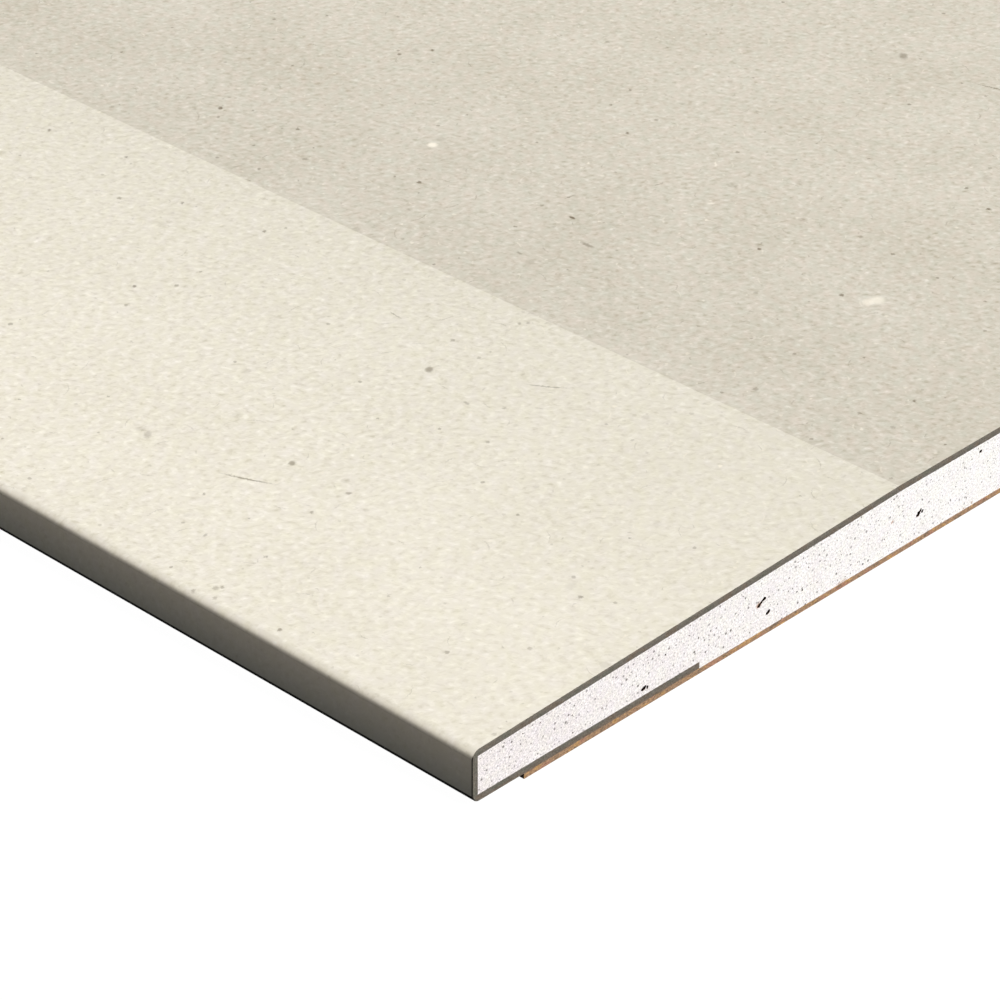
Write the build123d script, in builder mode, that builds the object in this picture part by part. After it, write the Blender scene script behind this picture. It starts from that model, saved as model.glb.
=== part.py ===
from build123d import *

import os

# Drywall sheet: a cast gypsum core between a face paper and a back paper.
# It lies face up. X runs along the length, Y across the width and Z up through the thickness.
# The origin is the centre of the underside of the back paper. Sizes are in millimetres.

# The sheet as it is sold
sheet_length = 2400.0
sheet_width = 1200.0
sheet_thickness = 12.5

# The face falls away towards both long edges, which makes room for joint tape and filler
taper_width = 92.0
taper_depth = 2.8

# The face paper goes round each long edge and ends in a strip under the core.
# It is pressed round the core's square corners, so its outside turns a little wider than its own thickness.
face_paper_thickness = 1.15
face_paper_lap = 47.2
fold_radius = 1.5

# The back paper starts this far in from each long edge and covers the end of the strip
back_paper_thickness = 0.95
back_paper_inset = 10.4

half_length = sheet_length / 2
half_width = sheet_width / 2
edge_top = sheet_thickness - taper_depth

# Section of the sheet without its back paper, before the folds are rounded
with BuildSketch(Plane.YZ) as wrapped_outline:
    with BuildLine():
        Polyline(
            (-half_width, back_paper_thickness),
            (half_width, back_paper_thickness),
            (half_width, edge_top),
            (half_width - taper_width, sheet_thickness),
            (taper_width - half_width, sheet_thickness),
            (-half_width, edge_top),
            close=True,
        )
    make_face()

# The gypsum fills the wrap, and between the two strips it comes down to the back paper
with BuildPart() as gypsum_core:
    with BuildSketch(Plane.YZ) as core_section:
        add(wrapped_outline.sketch_local)
        offset(amount=-face_paper_thickness, kind=Kind.INTERSECTION)
        with Locations((0, back_paper_thickness)):
            Rectangle(sheet_width - 2 * face_paper_lap, face_paper_thickness, align=(Align.CENTER, Align.MIN))
    extrude(amount=half_length, both=True)

# One paper over the face, round both long edges and back under the core
with BuildPart() as face_paper:
    with BuildSketch(Plane.YZ):
        add(wrapped_outline.sketch_local)
        across_width = vertices().group_by(Axis.X)
        fillet(across_width[0] + across_width[-1], radius=fold_radius)
        add(core_section.sketch_local, mode=Mode.SUBTRACT)
    extrude(amount=half_length, both=True)

# One flat paper under the core and over the ends of both strips
with BuildPart() as back_paper:
    with BuildSketch(Plane.YZ):
        Rectangle(sheet_width - 2 * back_paper_inset, back_paper_thickness, align=(Align.CENTER, Align.MIN))
    extrude(amount=half_length, both=True)

gypsum_core.part.label = "gypsum_core"
face_paper.part.label = "face_paper"
back_paper.part.label = "back_paper"

os.makedirs("parts", exist_ok=True)
export_step(gypsum_core.part, "parts/gypsum_core.step")
export_step(face_paper.part, "parts/face_paper.step")
export_step(back_paper.part, "parts/back_paper.step")
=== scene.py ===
"""Looks of the drywall sheet: its two papers, its gypsum core and the plain studio around it.

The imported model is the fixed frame. Everything is in metres and in its axes: X along the sheet, Y across
it, Z up out of its face, with the origin under the middle of the back paper. The photographed corner is at
+X, -Y. Patterns are drawn in millimetres, which suit the size of the fibres, specks and voids.
"""

import functools
import logging
import math
from dataclasses import dataclass
from enum import Enum

import bmesh
import bpy
from mathutils import Matrix, Vector


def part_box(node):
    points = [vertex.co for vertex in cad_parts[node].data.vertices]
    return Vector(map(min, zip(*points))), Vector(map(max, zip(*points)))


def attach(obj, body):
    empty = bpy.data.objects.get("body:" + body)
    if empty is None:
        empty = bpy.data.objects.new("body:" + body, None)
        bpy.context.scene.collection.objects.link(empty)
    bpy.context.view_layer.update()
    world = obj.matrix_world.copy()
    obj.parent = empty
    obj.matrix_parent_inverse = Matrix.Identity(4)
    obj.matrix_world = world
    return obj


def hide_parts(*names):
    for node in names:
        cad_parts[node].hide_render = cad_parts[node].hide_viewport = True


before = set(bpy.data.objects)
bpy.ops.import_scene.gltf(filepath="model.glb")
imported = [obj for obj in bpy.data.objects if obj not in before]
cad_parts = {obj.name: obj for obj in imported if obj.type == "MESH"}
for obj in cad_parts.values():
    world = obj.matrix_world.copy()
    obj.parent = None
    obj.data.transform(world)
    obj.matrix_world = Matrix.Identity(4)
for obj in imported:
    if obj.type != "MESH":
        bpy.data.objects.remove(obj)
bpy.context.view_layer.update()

log = logging.getLogger("drywall_sheet")

MM = 0.001
PER_MM = 1000.0
ROOT = "root"
TOUCHING = 1e-7

Socket = bpy.types.NodeSocket
Value = Socket | float | tuple[float, ...]
Tone = tuple[float, float, float]
Point = tuple[float, float]


def paint(tone: Tone) -> tuple[float, float, float, float]:
    """Turns a tone as it looks on a screen into the linear colour that a shader takes.

    Args:
        tone: red, green and blue, from 0 to 255.

    Returns:
        The linear red, green and blue, and an alpha of 1.
    """
    channels = []
    for channel in (part / 255 for part in tone):
        dark = channel <= 0.04045
        channels.append(channel / 12.92 if dark else ((channel + 0.055) / 1.055) ** 2.4)
    return (channels[0], channels[1], channels[2], 1.0)


def grey(level: float) -> tuple[float, float, float, float]:
    """Gives a linear grey with an alpha of 1."""
    return (level, level, level, 1.0)


@dataclass(frozen=True)
class Section:
    """The sheet's section, in metres: what the frame's boxes give, and the sizes that they don't."""

    half_length: float
    half_width: float
    thickness: float
    face_paper: float
    back_paper: float
    taper_width: float = 92 * MM
    taper_depth: float = 2.8 * MM
    face_paper_lap: float = 47.2 * MM
    fold_radius: float = 1.5 * MM

    @classmethod
    def from_frame(cls) -> "Section":
        """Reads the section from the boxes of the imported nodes.

        Returns:
            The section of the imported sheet.
        """
        paper_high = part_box("face_paper")[1]
        core_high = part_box("gypsum_core")[1]
        back_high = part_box("back_paper")[1]
        return cls(
            half_length=paper_high[0],
            half_width=paper_high[1],
            thickness=paper_high[2],
            face_paper=paper_high[2] - core_high[2],
            back_paper=back_high[2],
        )

    @property
    def taper_angle(self) -> float:
        """The slope of the tapers, in radians."""
        return math.atan2(self.taper_depth, self.taper_width)

    @property
    def crease(self) -> float:
        """How far from the middle of the face the taper starts."""
        return self.half_width - self.taper_width

    def upper_inset(self, depth: float) -> Point:
        """Gives the point as (y, z) that lies as deep in from the taper as in from the long edge."""
        level = self.thickness - self.taper_depth + depth * math.tan(self.taper_angle)
        return self.half_width - depth, level - depth / math.cos(self.taper_angle)

    def lower_inset(self, depth: float) -> Point:
        """Gives the point as (y, z) that lies as deep in from the underside as in from the long edge."""
        return self.half_width - depth, self.back_paper + depth

    @property
    def core_arris(self) -> Point:
        """The core's upper long arris as (y, z), round which the face paper is turned down."""
        return self.upper_inset(self.face_paper)

    @property
    def core_foot(self) -> Point:
        """The core's lower long arris as (y, z), round which the face paper is turned under."""
        return self.lower_inset(self.face_paper)

    @property
    def core_crease(self) -> Point:
        """The line as (y, z) where the core's flat top meets its taper."""
        inset = self.face_paper * math.tan(self.taper_angle / 2)
        return self.crease - inset, self.thickness - self.face_paper

    @property
    def fold_top(self) -> float:
        """How far along the face paper, from the middle of the face, the turn down starts.

        Returns:
            The distance on the paper's outer face.
        """
        y, z = self.upper_inset(self.fold_radius)
        lean, rise = math.sin(self.taper_angle), math.cos(self.taper_angle)
        start = (y + self.fold_radius * lean, z + self.fold_radius * rise)
        return self.crease + math.dist((self.crease, self.thickness), start)

    @property
    def side_top(self) -> float:
        """How far along the face paper its upright side starts."""
        return self.fold_top + self.fold_radius * (math.pi / 2 - self.taper_angle)

    @property
    def side_foot(self) -> float:
        """How far along the face paper its upright side ends."""
        return self.side_top + self.upper_inset(self.fold_radius)[1] - self.lower_inset(self.fold_radius)[1]


class Graph:
    """Adds nodes to one node tree, each in a single call with its values and links."""

    bump_strength = 0.3

    def __init__(self, tree: bpy.types.NodeTree) -> None:
        """Works on an existing shader or geometry tree."""
        self.tree = tree

    def feed(self, socket: Socket, value: Value | bool | bpy.types.ID) -> None:
        """Links a socket to another one, or sets its value.

        Args:
            socket: the input that is fed.
            value: the output that it is linked to, or the value that it is set to.
        """
        if isinstance(value, bpy.types.NodeSocket):
            self.tree.links.new(value, socket)
        else:
            socket.default_value = value

    def node(self, kind: str, inputs: dict | None = None, **settings: object) -> bpy.types.Node:
        """Adds a node.

        Args:
            kind: the node's type name.
            inputs: values or sockets for its inputs, by name or by number.
            settings: the node's own properties.

        Returns:
            The new node.
        """
        made = self.tree.nodes.new(kind)
        for name, value in settings.items():
            setattr(made, name, value)
        for key, value in (inputs or {}).items():
            self.feed(made.inputs[key], value)
        return made

    def math(self, operation: str, *values: Value, clamp: bool = False) -> Socket:
        """Adds a Math node and returns its result."""
        inputs = dict(enumerate(values))
        return self.node("ShaderNodeMath", inputs, operation=operation, use_clamp=clamp).outputs[0]

    def times(self, *values: Value) -> Socket:
        """Multiplies numbers together."""
        return functools.reduce(lambda product, value: self.math("MULTIPLY", product, value), values)

    def most(self, *values: Value) -> Socket:
        """Gives the largest of some numbers."""
        return functools.reduce(lambda largest, value: self.math("MAXIMUM", largest, value), values)

    def vector(self, operation: str, *values: Value) -> Socket:
        """Adds a Vector Math node and returns its vector."""
        inputs = dict(enumerate(values))
        return self.node("ShaderNodeVectorMath", inputs, operation=operation).outputs[0]

    def grow(self, vector: Value, factor: Value) -> Socket:
        """Scales a vector by a factor."""
        inputs = {0: vector, "Scale": factor}
        return self.node("ShaderNodeVectorMath", inputs, operation="SCALE").outputs[0]

    def size(self, vector: Value) -> Socket:
        """Gives a vector's length."""
        made = self.node("ShaderNodeVectorMath", {0: vector}, operation="LENGTH")
        return made.outputs["Value"]

    def split(self, vector: Socket) -> tuple[Socket, Socket, Socket]:
        """Adds a Separate XYZ node and returns its three numbers."""
        outputs = self.node("ShaderNodeSeparateXYZ", {0: vector}).outputs
        return outputs[0], outputs[1], outputs[2]

    def join(self, x: Value, y: Value, z: Value = 0.0) -> Socket:
        """Adds a Combine XYZ node and returns its vector."""
        return self.node("ShaderNodeCombineXYZ", {0: x, 1: y, 2: z}).outputs[0]

    def step(self, value: Value, low: Value, high: Value, to: Value = 1.0) -> Socket:
        """Rises smoothly from 0 to its highest value as a value goes from low to high, or down to high."""
        inputs = {"Value": value, "From Min": low, "From Max": high, "To Max": to}
        return self.node("ShaderNodeMapRange", inputs, interpolation_type="SMOOTHSTEP").outputs[0]

    def ramp(self, value: Value, low: float, high: float, start: Value, end: Value) -> Socket:
        """Goes evenly from start to end as the value goes from low to high, and stays there beyond."""
        inputs = {"Value": value, "From Min": low, "From Max": high, "To Min": start, "To Max": end}
        return self.node("ShaderNodeMapRange", inputs).outputs[0]

    def noise(
        self, vector: Value, scale: Value, detail: float = 2.0, rough: float = 0.5
    ) -> bpy.types.NodeOutputs:
        """Adds a Noise Texture node over a vector's first two numbers and returns its outputs."""
        inputs = {"Vector": vector, "Scale": scale, "Detail": detail, "Roughness": rough}
        return self.node("ShaderNodeTexNoise", inputs, noise_dimensions="2D").outputs

    def drift(self, vector: Value, scale: Value, detail: float = 2.0, rough: float = 0.5) -> Socket:
        """Gives flat noise that wanders about 0, from about -0.5 to 0.5."""
        return self.math("SUBTRACT", self.noise(vector, scale, detail, rough)[0], 0.5)

    def turned(self, vector: Value, radians: Value) -> Socket:
        """Turns a vector about Z."""
        inputs = {"Vector": vector, "Angle": radians}
        return self.node("ShaderNodeVectorRotate", inputs, rotation_type="Z_AXIS").outputs[0]

    def stretched(self, place: Socket, across: float, up: float) -> Socket:
        """Scales a place by one factor each way, for patterns that are longer one way."""
        return self.vector("MULTIPLY", place, (across, up, 1.0))

    def ragged(self, place: Socket, scale: float, amount: float) -> Socket:
        """Shifts a place by fine noise, so that what is drawn there gets a ragged edge.

        Args:
            place: the place.
            scale: the scale of the noise.
            amount: how far the place moves at most.

        Returns:
            The shifted place.
        """
        fine = self.noise(place, scale, detail=1.0)["Color"]
        shift = self.vector("SUBTRACT", fine, (0.5, 0.5, 0.5))
        return self.vector("ADD", place, self.grow(shift, amount))

    def blend(self, share: Value, first: Value, second: Value, mode: str = "MIX") -> Socket:
        """Mixes two colours.

        Args:
            share: how much of the second colour shows, from 0 to 1.
            first: the first colour.
            second: the second colour.
            mode: how they are mixed.

        Returns:
            The mixed colour.
        """
        made = self.node("ShaderNodeMix", data_type="RGBA", blend_type=mode)
        self.feed(made.inputs["Factor"], share)
        for name, value in (("A", first), ("B", second)):
            self.feed(next(s for s in made.inputs if s.name == name and s.type == "RGBA"), value)
        return next(s for s in made.outputs if s.type == "RGBA")

    def lighten(self, colour: Value, amount: Socket, shares: Tone = (1.0, 1.0, 1.0)) -> Socket:
        """Multiplies red, green and blue by 1 plus their shares of an amount, which may be below 0."""
        factor = self.vector("ADD", self.grow(shares, amount), (1.0, 1.0, 1.0))
        return self.blend(1.0, colour, factor, "MULTIPLY")

    def matt(self, colour: Socket, roughness: float, gloss: float, height: Socket, depth: float) -> None:
        """Ends a material with a matt surface.

        Args:
            colour: its colour.
            roughness: its roughness.
            gloss: its specular level.
            height: its fine relief, from about 0 to 1.
            depth: how deep the relief is, in metres.
        """
        shader = self.node("ShaderNodeBsdfPrincipled", {"Base Color": colour, "Roughness": roughness})
        shader.inputs["Specular IOR Level"].default_value = gloss
        inputs = {"Height": height, "Strength": self.bump_strength, "Distance": depth}
        self.feed(shader.inputs["Normal"], self.node("ShaderNodeBump", inputs).outputs[0])
        self.node("ShaderNodeOutputMaterial", {"Surface": shader.outputs[0]})


def blank_material(name: str) -> tuple[bpy.types.Material, Graph]:
    """Makes a material with an empty tree.

    Args:
        name: the material's name.

    Returns:
        The material and its graph.
    """
    made = bpy.data.materials.new(name)
    made.use_nodes = True
    made.node_tree.nodes.clear()
    return made, Graph(made.node_tree)


class ShaderEffect:
    """A shader node group, built once and placed in each material that uses it."""

    name = "effect"
    inputs: dict[str, float] = {}
    outputs: tuple[str, ...] = ()

    def __init__(self) -> None:
        """Makes the group's sockets and fills its tree."""
        self.tree = bpy.data.node_groups.new(self.name, "ShaderNodeTree")
        self.tree.interface.new_socket("Vector", in_out="INPUT", socket_type="NodeSocketVector")
        for title, value in self.inputs.items():
            socket = self.tree.interface.new_socket(title, in_out="INPUT", socket_type="NodeSocketFloat")
            socket.default_value = value
        for title in self.outputs:
            self.tree.interface.new_socket(title, in_out="OUTPUT", socket_type="NodeSocketFloat")
        self.graph = Graph(self.tree)
        self.source = self.graph.node("NodeGroupInput").outputs
        target = self.graph.node("NodeGroupOutput").inputs
        for title, socket in self.build().items():
            self.graph.feed(target[title], socket)

    def build(self) -> dict[str, Socket]:
        """Fills the tree and gives what each of the group's outputs shows. Each effect has its own."""
        raise NotImplementedError

    def place(self, graph: Graph, vector: Value, **values: Value) -> bpy.types.NodeOutputs:
        """Places the group in a material.

        Args:
            graph: the material's graph.
            vector: the coordinates that the effect follows, in millimetres.
            values: the group's other inputs, with underscores for the spaces in their names.

        Returns:
            The outputs of the placed group.
        """
        made = graph.node("ShaderNodeGroup", node_tree=self.tree)
        graph.feed(made.inputs["Vector"], vector)
        for title, value in values.items():
            graph.feed(made.inputs[title.replace("_", " ")], value)
        return made.outputs


class PaperFibres(ShaderEffect):
    """Short fibres felted in every direction, paler and darker, over soft patches of the pulp.

    Relief, Clouds and Hue wander about 0. Grain is the plain noise behind one direction's fibres, from 0
    to 1, for a light relief. A layer is the noise at which its fibres start and are full, and their level.
    """

    name = "paper_fibres"
    inputs = {"Scale": 1.0}
    outputs = ("Relief", "Clouds", "Hue", "Grain")
    directions = (-42.0, -16.0, -68.0)
    along = 0.75
    across = 1.2
    layers = ((0.6, 0.74, 0.065), (0.4, 0.26, -0.05), (0.7, 0.8, 0.24), (0.3, 0.2, -0.28))
    patches = 0.4
    patch_share = 0.9
    patch_rough = 0.85
    clouds = 0.05
    hue_along = 0.5
    hue_across = 0.3

    def build(self) -> dict[str, Socket]:
        """Adds the fibres of each direction to the patches.

        Returns:
            The relief, the clouds, the hue and the grain.
        """
        graph, source = self.graph, self.source
        scaled = graph.grow(source["Vector"], source["Scale"])
        relief = graph.drift(scaled, self.patches, detail=4.0, rough=self.patch_rough)
        relief = graph.times(relief, self.patch_share)
        fibres = []
        for degrees in self.directions:
            turned = graph.turned(scaled, math.radians(degrees))
            drawn = graph.stretched(turned, self.along, self.across)
            fibres.append(graph.noise(drawn, 1.0, detail=0.0)[0])
            for start, full, level in self.layers:
                relief = graph.math("ADD", relief, graph.step(fibres[-1], start, full, level))
        turned = graph.turned(source["Vector"], math.radians(self.directions[0]))
        hue = graph.drift(graph.stretched(turned, self.hue_along, self.hue_across), 1.0, detail=1.0)
        clouds = graph.drift(source["Vector"], self.clouds, detail=1.0)
        return {"Relief": relief, "Clouds": clouds, "Hue": hue, "Grain": fibres[0]}


class ScatteredMarks(ShaderEffect):
    """Marks at random places of the surface, one to a cell at most, with sizes in millimetres."""

    outputs = ("Mask",)

    def cells(self) -> bpy.types.NodeOutputs:
        """Divides the surface into cells.

        Returns:
            The distance from the cell's centre, the cell's random colour, and its centre.
        """
        scale = self.graph.math("DIVIDE", 1.0, self.source["Cell"])
        inputs = {"Vector": self.source["Vector"], "Scale": scale}
        made = self.graph.node("ShaderNodeTexVoronoi", inputs, voronoi_dimensions="2D", feature="F1")
        return made.outputs

    def between(self, low: Socket, high: Socket, chance: Socket, power: float) -> Socket:
        """Draws a random size between two sizes, of which the low ones come up more with a higher power."""
        spread = self.graph.math("SUBTRACT", high, low)
        return self.graph.math("MULTIPLY_ADD", self.graph.math("POWER", chance, power), spread, low)


class Flecks(ScatteredMarks):
    """Soft specks of random size. The higher few_large is, the fewer of them are large."""

    name = "flecks"
    inputs = {"Cell": 8.0, "Share": 0.5, "Smallest": 0.15, "Largest": 0.4, "Core": 0.45}
    few_large = 2.5
    faintest = 0.4

    def build(self) -> dict[str, Socket]:
        """Draws a spot round the centre of each chosen cell.

        Returns:
            The specks' mask.
        """
        graph, source, cells = self.graph, self.source, self.cells()
        away = graph.times(cells["Distance"], source["Cell"])
        chance, size, depth = graph.split(cells["Color"])
        radius = self.between(source["Smallest"], source["Largest"], size, self.few_large)
        spot = graph.step(away, radius, graph.times(radius, source["Core"]))
        chosen = graph.math("LESS_THAN", chance, source["Share"])
        strength = graph.math("MULTIPLY_ADD", depth, 1.0 - self.faintest, self.faintest)
        return {"Mask": graph.times(spot, chosen, strength)}


class Hairs(ScatteredMarks):
    """Thin bent hairs of random length, laid every way. Shortest and Longest are half lengths.

    The higher few_long is, the fewer of them are long.
    """

    name = "hairs"
    inputs = {"Cell": 9.0, "Share": 0.5, "Shortest": 0.5, "Longest": 2.4, "Half width": 0.12, "Bend": 0.35}
    few_long = 2.0
    core = 0.3

    def build(self) -> dict[str, Socket]:
        """Draws a bent line across the centre of each chosen cell.

        Returns:
            The hairs' mask.
        """
        graph, source, cells = self.graph, self.source, self.cells()
        chance, length, turn = graph.split(cells["Color"])
        away = graph.vector("SUBTRACT", source["Vector"], cells["Position"])
        x, y, _ = graph.split(graph.turned(away, graph.times(turn, math.tau)))
        reach = self.between(source["Shortest"], source["Longest"], length, self.few_long)
        x = graph.math("DIVIDE", x, reach)
        arc = graph.times(x, x, graph.times(reach, source["Bend"]))
        y = graph.math("DIVIDE", graph.math("SUBTRACT", y, arc), source["Half width"])
        hair = graph.step(graph.size(graph.join(x, y)), 1.0, self.core)
        return {"Mask": graph.times(hair, graph.math("LESS_THAN", chance, source["Share"]))}


class PlacedSpot(ShaderEffect):
    """One soft round or oval spot at a given place, in coordinates that are turned as it is."""

    name = "placed_spot"
    inputs = {
        "Along": 0.0,
        "Across": 0.0,
        "Half length": 0.5,
        "Half width": 0.3,
        "Core": 0.3,
        "Strength": 1.0,
    }
    outputs = ("Mask",)

    def local(self) -> Socket:
        """Gives the place as the spot sees it: 0 at its centre, and as far as 1 from there at its rim.

        Returns:
            The place in the spot's own coordinates.
        """
        graph, source = self.graph, self.source
        long = graph.math("DIVIDE", 1.0, source["Half length"])
        wide = graph.math("DIVIDE", 1.0, source["Half width"])
        along = graph.times(source["Along"], graph.times(long, -1.0))
        across = graph.times(source["Across"], graph.times(wide, -1.0))
        scale, shift = graph.join(long, wide), graph.join(along, across)
        return graph.vector("MULTIPLY_ADD", source["Vector"], scale, shift)

    def build(self) -> dict[str, Socket]:
        """Fades the spot from its core to its rim."""
        away = self.graph.size(self.local())
        return {"Mask": self.graph.step(away, 1.0, self.source["Core"], self.source["Strength"])}


class PlacedHair(PlacedSpot):
    """One thin hair at a given place, bent into an arc by as many of its half widths as Bend says."""

    name = "placed_hair"
    inputs = PlacedSpot.inputs | {"Bend": 0.0}

    def local(self) -> Socket:
        """Gives the place as the hair sees it, straightened.

        Returns:
            The place in the hair's own coordinates.
        """
        x, y, _ = self.graph.split(super().local())
        arc = self.graph.times(x, x, self.source["Bend"])
        return self.graph.join(x, self.graph.math("SUBTRACT", y, arc))


class Shade(Enum):
    """How a spot stands out from what it lies in."""

    DARK = "dark"
    PALE = "pale"
    RUST = "rust"


@dataclass(frozen=True)
class Spot:
    """A speck, smudge, streak or hair of the photographed corner, in millimetres.

    Args:
        first: its distance from the cut end on the face, or from the long edge on the cut end.
        second: its distance from the long edge on the face, or its height on the cut end.
        half_length: half its length.
        half_width: half its width.
        strength: how far it goes towards its shade's tone, from 0 to 1.
        turn: how far its length is turned, in degrees.
        shade: whether it is darker or paler than its ground.
        bend: how many half widths its ends curve, for a hair.
    """

    first: float
    second: float
    half_length: float
    half_width: float
    strength: float
    turn: float = 43.0
    shade: Shade = Shade.DARK
    bend: float = 0.0

    def mask(
        self, graph: Graph, effects: "Effects", turned: Socket, along: float, across: float
    ) -> Socket:
        """Adds the spot to a material.

        Args:
            graph: the material's graph.
            effects: the groups that draw spots and hairs.
            turned: the place on the surface, in millimetres, turned back by the spot's own turn.
            along: where the spot is along the surface, in millimetres.
            across: where the spot is across the surface, in millimetres.

        Returns:
            The spot's mask times its strength.
        """
        centre = Matrix.Rotation(-math.radians(self.turn), 2) @ Vector((along, across))
        values = {"Along": centre.x, "Across": centre.y, "Strength": self.strength}
        values |= {"Half_length": self.half_length, "Half_width": self.half_width}
        if self.bend:
            return effects.hair.place(graph, turned, Bend=self.bend, **values)["Mask"]
        return effects.spot.place(graph, turned, **values)["Mask"]


@dataclass(frozen=True)
class Scatter:
    """Specks or hairs strewn at random, in millimetres.

    Args:
        cell: how far apart the places for them are.
        share: how many of the places carry one, from 0 to 1.
        sizes: the radius of the smallest and of the largest speck, or half the length of the hairs.
        strength: how far they go towards their tone, from 0 to 1.
        half_width: half a hair's width, or 0 for specks.
    """

    cell: float
    share: float
    sizes: Point
    strength: float
    half_width: float = 0.0

    def mask(self, graph: Graph, effects: "Effects", place: Socket) -> Socket:
        """Adds them to a material.

        Args:
            graph: the material's graph.
            effects: the groups that draw specks and hairs.
            place: the place on the surface, in millimetres.

        Returns:
            Their mask times their strength.
        """
        values = {"Cell": self.cell, "Share": self.share}
        low, high = self.sizes
        if self.half_width:
            values |= {"Shortest": low, "Longest": high, "Half_width": self.half_width}
            drawn = effects.hairs.place(graph, place, **values)["Mask"]
        else:
            drawn = effects.flecks.place(graph, place, Smallest=low, Largest=high, **values)["Mask"]
        return graph.times(drawn, self.strength)


@dataclass(frozen=True)
class Effects:
    """The shader groups that the finishes share."""

    fibres: PaperFibres
    flecks: Flecks
    hairs: Hairs
    spot: PlacedSpot
    hair: PlacedHair

    def marks(self, graph: Graph, place: Socket, marks: list[tuple[Spot, float, float]]) -> Socket:
        """Adds up placed spots and hairs.

        Args:
            graph: the material's graph.
            place: the place on the surface, in millimetres.
            marks: each spot with where it is along and across the surface, in millimetres.

        Returns:
            Their mask, from 0 to 1.
        """
        total: Value = 0.0
        turned: dict[float, Socket] = {}
        for spot, along, across in marks:
            if spot.turn not in turned:
                turned[spot.turn] = graph.turned(place, -math.radians(spot.turn))
            mask = spot.mask(graph, self, turned[spot.turn], along, across)
            total = graph.math("ADD", total, mask)
        return graph.math("MINIMUM", total, 1.0)


FACE_SPOTS = (
    Spot(168.3, 107.9, 0.65, 0.85, 0.8),
    Spot(165.9, 105.2, 0.45, 0.6, 0.5),
    Spot(183.8, 81.3, 0.45, 0.7, 0.6),
    Spot(166.1, 83.7, 0.4, 0.6, 0.6),
    Spot(155.8, 73.0, 0.6, 0.6, 0.45),
    Spot(146.5, 79.1, 0.4, 0.6, 0.6),
    Spot(131.2, 54.6, 0.45, 0.65, 0.6),
    Spot(128.9, 81.7, 0.45, 0.6, 0.6),
    Spot(145.9, 96.4, 0.4, 0.6, 0.5),
    Spot(122.6, 112.2, 0.6, 0.7, 0.75),
    Spot(152.4, 111.7, 0.55, 0.5, 0.65),
    Spot(143.0, 104.6, 0.9, 0.5, 0.45, 30.0),
    Spot(158.3, 151.2, 0.5, 0.7, 0.75),
    Spot(161.4, 145.8, 0.55, 0.65, 0.65),
    Spot(121.2, 164.2, 0.4, 0.55, 0.6),
    Spot(94.9, 121.0, 0.93, 0.45, 0.85, 0.0),
    Spot(109.9, 151.1, 0.45, 0.65, 0.65),
    Spot(86.4, 115.6, 1.9, 0.62, 0.5, -2.0),
    Spot(92.5, 105.6, 0.85, 0.45, 0.42, 0.0),
    Spot(76.5, 68.4, 0.9, 1.25, 0.6),
    Spot(80.2, 77.4, 0.55, 0.7, 0.42),
    Spot(65.0, 65.1, 0.9, 0.4, 0.42, -13.0),
    Spot(59.6, 68.0, 0.5, 0.45, 0.4),
    Spot(75.9, 88.4, 0.4, 0.6, 0.4),
    Spot(75.0, 89.5, 0.4, 0.6, 0.35),
    Spot(54.6, 59.1, 0.5, 0.6, 0.42),
    Spot(72.4, 34.6, 0.8, 0.95, 0.58),
    Spot(59.9, 34.5, 0.7, 0.57, 0.5),
    Spot(60.2, 27.1, 0.42, 0.53, 0.5),
    Spot(75.9, 19.5, 0.38, 0.57, 0.5),
    Spot(67.4, 12.1, 0.42, 0.65, 0.4, 20.0),
    Spot(95.0, 25.2, 0.8, 1.6, 0.34),
    Spot(97.0, 25.6, 1.2, 0.8, 0.16),
    Spot(57.8, 0.9, 0.5, 0.66, 0.35),
    Spot(55.8, 3.5, 0.7, 0.85, 0.4),
    Spot(54.0, 1.7, 0.5, 0.66, 0.35),
    Spot(41.1, 2.5, 0.5, 0.55, 0.6),
    Spot(15.0, 37.8, 0.65, 0.5, 0.55),
    Spot(34.7, 98.9, 0.7, 0.8, 0.42, 60.0),
    Spot(14.5, 113.4, 0.4, 0.6, 0.7),
    Spot(44.8, 131.9, 0.55, 0.65, 0.75),
    Spot(64.9, 134.6, 0.5, 0.65, 0.75),
    Spot(46.5, 172.7, 0.6, 0.55, 0.8),
    Spot(95.2, 209.5, 1.15, 1.9, 0.5),
    Spot(131.1, 123.9, 1.3, 1.25, 1.0, 25.0, Shade.PALE),
    Spot(39.5, 134.7, 1.7, 1.9, 0.72, shade=Shade.PALE),
    Spot(40.2, 133.0, 1.3, 1.6, 0.65, shade=Shade.PALE),
    Spot(23.6, 78.0, 0.4, 0.66, 0.7, shade=Shade.PALE),
    Spot(14.9, 101.0, 0.4, 0.66, 0.6, shade=Shade.PALE),
    Spot(106.8, 137.8, 0.4, 0.5, 0.7, shade=Shade.PALE),
    Spot(78.1, 136.2, 0.4, 0.5, 0.7, shade=Shade.PALE),
    Spot(81.6, 141.4, 1.0, 0.4, 0.6, shade=Shade.PALE),
    Spot(90.8, 152.9, 1.5, 0.25, 0.6, -46.0, Shade.PALE),
    Spot(74.2, 26.8, 5.8, 0.24, 0.62, 22.0, bend=1.2),
    Spot(74.0, 210.8, 7.0, 0.2, 0.62, 15.0, bend=0.3),
    Spot(59.0, 77.2, 4.5, 0.22, 0.5, 32.0, bend=1.5),
    Spot(92.6, 76.8, 1.9, 0.18, 0.5, -5.0, bend=0.6),
    Spot(100.4, 126.4, 1.6, 0.22, 0.5, 82.0, bend=0.5),
    Spot(92.7, 140.5, 1.5, 0.2, 0.42, 80.0, bend=0.8),
)

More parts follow.
